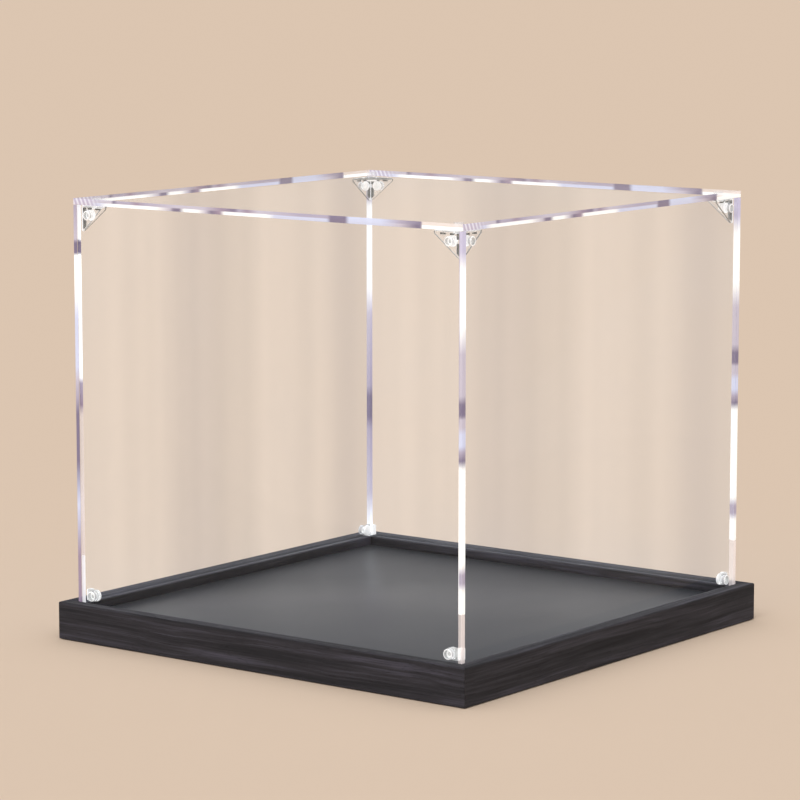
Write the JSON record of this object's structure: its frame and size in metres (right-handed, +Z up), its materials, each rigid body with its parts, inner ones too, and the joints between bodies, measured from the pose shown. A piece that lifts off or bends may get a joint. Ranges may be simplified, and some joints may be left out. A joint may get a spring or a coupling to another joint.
{
  "type": "display case",
  "caption": "Square display case with a clear acrylic lift-off cover, moulded corner connectors and clips, and a black wood-grain tray base with a sunken floor.",
  "frame": {"origin": "on the resting plane, under the middle of the base", "axes": "+Z up; the front wall, which carries two of the bottom clips' pins, faces -Y, and the right wall faces +X"},
  "size_m": [0.318, 0.318, 0.279],
  "materials": {
    "black_wood": "black wood-grain foil over fibreboard, satin",
    "grey_board": "smooth dark grey laminate over fibreboard",
    "raw_wood": "raw planed wood",
    "dark_rubber": "matte foam rubber",
    "clear_acrylic": "clear acrylic sheet with polished edges",
    "clear_moulded_plastic": "clear injection-moulded plastic"
  },
  "bodies": {
    "base": {"rail_front": "black_wood", "rail_right": "black_wood", "rail_back": "black_wood", "rail_left": "black_wood", "floor_panel": "grey_board", "glue_block_front_left": "raw_wood", "glue_block_front_right": "raw_wood", "glue_block_back_right": "raw_wood", "glue_block_back_left": "raw_wood", "foot_pad_front_left": "dark_rubber", "foot_pad_front_right": "dark_rubber", "foot_pad_back_right": "dark_rubber", "foot_pad_back_left": "dark_rubber"},
    "cover": {"wall_front": "clear_acrylic", "wall_right": "clear_acrylic", "wall_back": "clear_acrylic", "wall_left": "clear_acrylic", "top_panel": "clear_acrylic", "top_connector_front_left": "clear_moulded_plastic", "top_connector_front_right": "clear_moulded_plastic", "top_connector_back_right": "clear_moulded_plastic", "top_connector_back_left": "clear_moulded_plastic", "bottom_clip_front_left": "clear_moulded_plastic", "bottom_clip_front_right": "clear_moulded_plastic", "bottom_clip_back_right": "clear_moulded_plastic", "bottom_clip_back_left": "clear_moulded_plastic"}
  },
  "joints": [
    {"name": "cover_lift", "type": "slide", "parent": "base", "child": "cover", "axis": [0, 0, 1], "range_m": [0, 0.3]}
  ]
}
